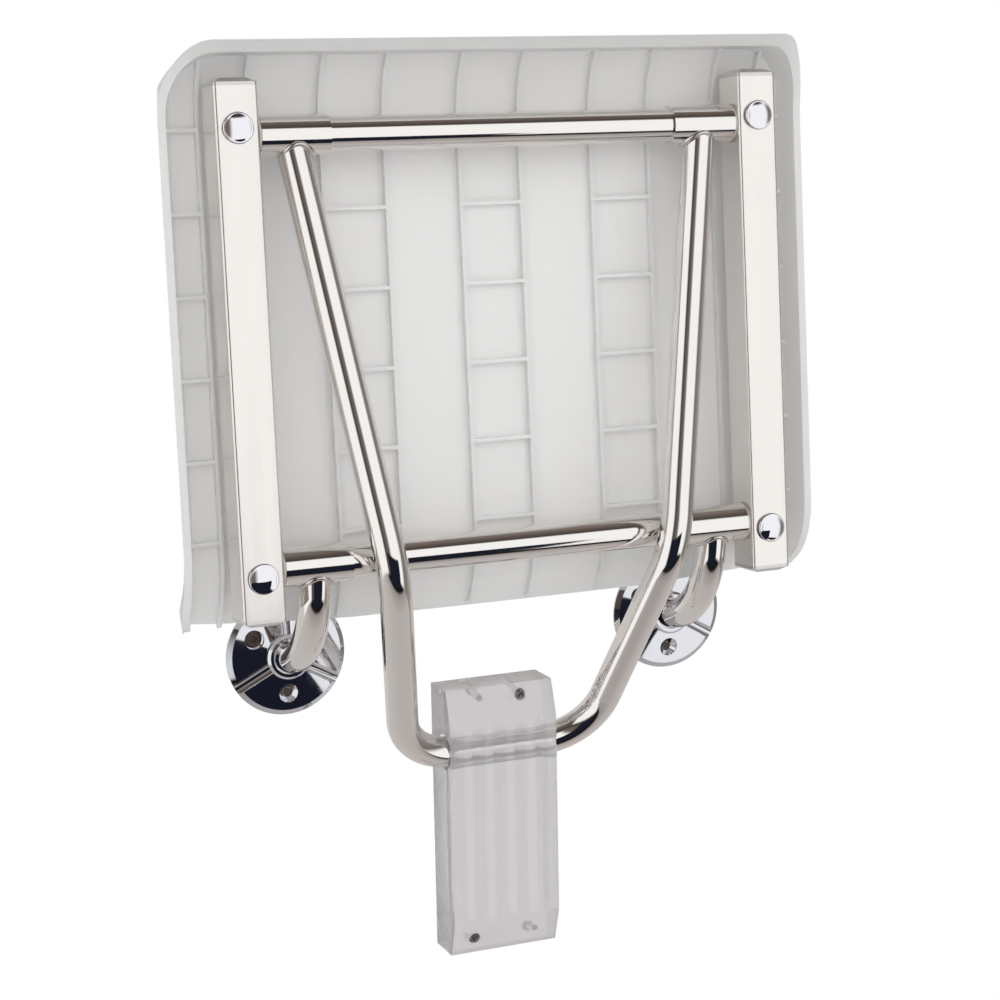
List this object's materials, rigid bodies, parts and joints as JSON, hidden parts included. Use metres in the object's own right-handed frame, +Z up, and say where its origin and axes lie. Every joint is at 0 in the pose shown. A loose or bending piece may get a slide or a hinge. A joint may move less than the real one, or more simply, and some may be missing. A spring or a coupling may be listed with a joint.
{
  "type": "fold-down wall seat",
  "caption": "Fold-down wall seat folded up: moulded panel on square rails and crossbars, turning on two wall brackets, with a bent brace leg and a sliding foot block.",
  "frame": {"origin": "on the wall plane, midway between the centres of the two wall flanges", "axes": "+Z up, +Y into the wall, +X along the crossbars; the folded seat stands on the -Y side of the wall"},
  "size_m": [0.399, 0.0962, 0.5512],
  "materials": {
    "flange_chrome": "polished",
    "polished_tube": "mirror polished stainless steel",
    "satin_rail": "satin",
    "cap_metal": "polished",
    "cover_chrome": "polished",
    "bolt_steel": "plain",
    "insert_brass": "plain",
    "spacer_nylon": "matte",
    "frosted_plastic": "frosted, translucent",
    "clear_plastic": "clear, smooth"
  },
  "bodies": {
    "wall_brackets": {"wall_flange_left": "flange_chrome", "wall_flange_right": "flange_chrome", "bracket_neck_left": "polished_tube", "bracket_neck_right": "polished_tube", "bracket_sleeve_left": "polished_tube", "bracket_sleeve_right": "polished_tube"},
    "seat": {"seat_panel": "frosted_plastic", "side_rail_left": "satin_rail", "side_rail_right": "satin_rail", "crossbar_front": "polished_tube", "crossbar_rear": "polished_tube", "rail_cap_rear_left": "cap_metal", "rail_cap_rear_right": "cap_metal", "rail_cap_front_left": "cap_metal", "rail_cap_front_right": "cap_metal", "seat_bolts": "bolt_steel", "threaded_inserts": "insert_brass", "bolt_covers": "cover_chrome", "spacer_ring_rear_left": "spacer_nylon", "spacer_ring_rear_right": "spacer_nylon", "spacer_ring_front_left": "spacer_nylon", "spacer_ring_front_right": "spacer_nylon"},
    "leg": {"leg_tube": "polished_tube", "leg_sleeve_left": "polished_tube", "leg_sleeve_right": "polished_tube"},
    "foot": {"foot_front_half": "clear_plastic", "foot_back_half": "clear_plastic", "foot_screws": "bolt_steel"}
  },
  "joints": [
    {"name": "seat_fold", "type": "hinge", "parent": "wall_brackets", "child": "seat", "pos_m": [0, -0.062, 0.0658], "axis": [1, 0, 0], "range_deg": [0, 93.7]},
    {"name": "leg_swing", "type": "hinge", "parent": "seat", "child": "leg", "pos_m": [0, -0.04655, 0.3047], "axis": [1, 0, 0], "range_deg": [-48.72, 0]},
    {"name": "foot_pivot", "type": "hinge", "parent": "leg", "child": "foot", "pos_m": [0, -0.02148, -0.06689], "axis": [1, 0, 0], "range_deg": [-44.99, 0]}
  ],
  "couplings": [
    {"joint": "leg_swing", "follows": "seat_fold", "ratio": -0.51995},
    {"joint": "foot_pivot", "follows": "seat_fold", "ratio": -0.48005}
  ]
}
